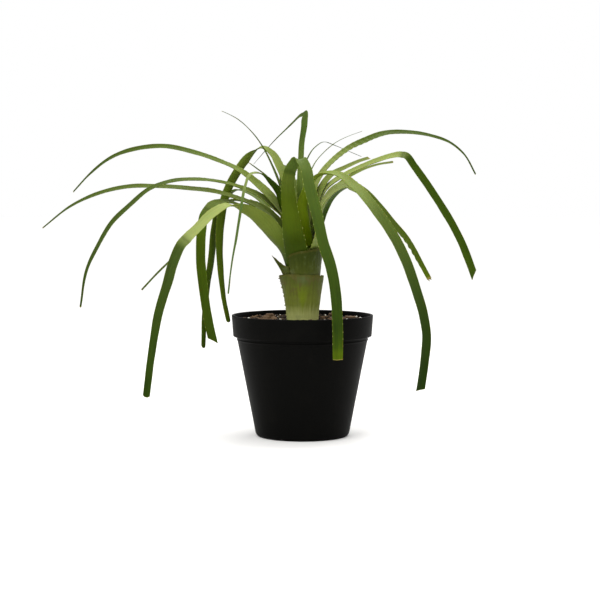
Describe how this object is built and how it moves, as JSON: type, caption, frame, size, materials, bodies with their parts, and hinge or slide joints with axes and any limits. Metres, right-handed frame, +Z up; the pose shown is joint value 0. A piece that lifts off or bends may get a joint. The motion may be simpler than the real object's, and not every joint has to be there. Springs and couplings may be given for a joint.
{
  "type": "potted pineapple plant",
  "caption": "Young pineapple-like bromeliad with long arching toothed strap leaves round a short stem, in a plain round black plastic nursery pot of soil.",
  "frame": {"origin": "centre of the flat underside of the pot, where it meets the surface it stands on", "axes": "+Z up along the pot's axis; +X to the right as the plant is seen from its front, along its widest spread; -Y is the front"},
  "size_m": [0.4321, 0.269, 0.3206],
  "materials": {
    "pot_plastic": "satin",
    "potting_soil": "matte",
    "bark": "matte",
    "stem_flesh": "matte",
    "old_leaf_base": "satin",
    "leaf_green": "satin",
    "leaf_pale": "satin"
  },
  "bodies": {
    "root": {"pot": "pot_plastic", "soil": "potting_soil", "stem": "stem_flesh", "old_base_lower": "old_leaf_base", "old_base_rear": "old_leaf_base", "old_base_middle": "old_leaf_base", "old_base_left": "old_leaf_base", "leaf_front_folded": "leaf_green", "leaf_left_kinked": "leaf_pale", "leaf_left_trimmed": "leaf_green", "leaf_left_behind": "leaf_green", "leaf_left_high_fold": "leaf_pale", "leaf_left_thread": "leaf_green", "leaf_front_hanging": "leaf_green", "leaf_left_stub": "leaf_green", "leaf_left_whip": "leaf_green", "leaf_left_upper": "leaf_pale", "leaf_left_middle": "leaf_green", "leaf_left_lower": "leaf_pale", "leaf_tall_folded": "leaf_green", "leaf_right_cascade": "leaf_green", "leaf_right_crimped": "leaf_pale", "leaf_right_arch": "leaf_green", "leaf_right_back_thread": "leaf_green", "leaf_right_hair": "leaf_green", "leaf_right_kinked": "leaf_pale", "leaf_right_sliver": "leaf_pale", "leaf_right_short": "leaf_pale", "leaf_back_long": "leaf_green", "leaf_back_left": "leaf_pale", "leaf_back_right": "leaf_green", "leaf_back_inner": "leaf_pale", "leaf_back_upright": "leaf_green", "bark_chip_1": "bark", "bark_chip_2": "bark", "bark_chip_3": "bark", "bark_chip_4": "bark", "bark_chip_5": "bark", "bark_chip_6": "bark", "bark_chip_7": "bark", "bark_chip_8": "bark", "bark_chip_9": "bark"}
  },
  "joints": []
}
